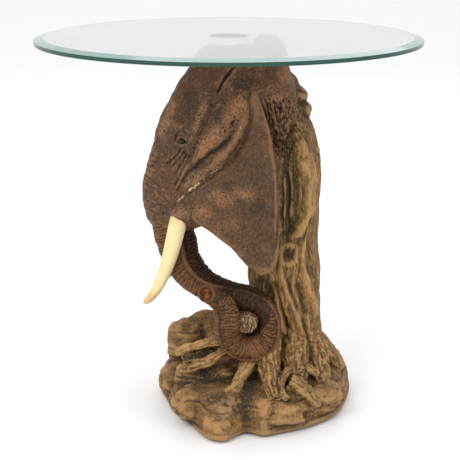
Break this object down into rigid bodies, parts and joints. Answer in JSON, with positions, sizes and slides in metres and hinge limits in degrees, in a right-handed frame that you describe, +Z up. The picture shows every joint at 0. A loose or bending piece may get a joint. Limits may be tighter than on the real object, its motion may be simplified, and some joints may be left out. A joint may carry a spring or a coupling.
{
  "type": "sculptural side table",
  "caption": "Small round glass-topped side table whose pedestal is a painted cast-resin elephant head and trunk in front of a tree stump on a rock base.",
  "frame": {"origin": "on the floor, straight under the centre of the round glass top", "axes": "+Z up through the centre of the glass; the elephant's face looks along -X and its left cheek looks along -Y"},
  "size_m": [0.4999, 0.5, 0.5],
  "materials": {
    "clear_glass": "polished",
    "polished_steel": "polished",
    "black_rubber": "matte",
    "zinc_steel": "satin",
    "brass": "satin",
    "painted_skin": "satin",
    "ivory_resin": "satin",
    "dark_eye": "gloss",
    "painted_bark": "matte",
    "pale_wood_paint": "matte",
    "painted_rock": "matte",
    "black_board": "matte",
    "felt": "matte"
  },
  "bodies": {
    "sculpture": {"disc_washer": "black_rubber", "stud_insert": "brass", "head": "painted_skin", "left_ear": "painted_skin", "right_ear": "painted_skin", "left_tusk": "ivory_resin", "right_tusk": "ivory_resin", "left_eye": "dark_eye", "right_eye": "dark_eye", "elephant_trunk": "painted_skin", "tree_stump": "painted_bark", "branch_stub": "pale_wood_paint", "surface_roots": "painted_bark", "rock_base": "painted_rock", "bottom_cover": "black_board", "cover_screws": "zinc_steel", "felt_pads": "felt"},
    "stud": {"top_stud": "zinc_steel"},
    "top": {"glass_top": "clear_glass", "bonding_disc": "polished_steel"}
  },
  "joints": [
    {"name": "top_rise", "type": "slide", "parent": "sculpture", "child": "stud", "axis": [0, 0, 1], "range_m": [0, 0.012]},
    {"name": "top_unscrew", "type": "hinge", "parent": "stud", "child": "top", "pos_m": [0, 0, 0.48], "axis": [0, 0, 1], "range_deg": [0, 2880]}
  ],
  "couplings": [
    {"joint": "top_rise", "follows": "top_unscrew", "m_per_rad": 0.00023873}
  ]
}
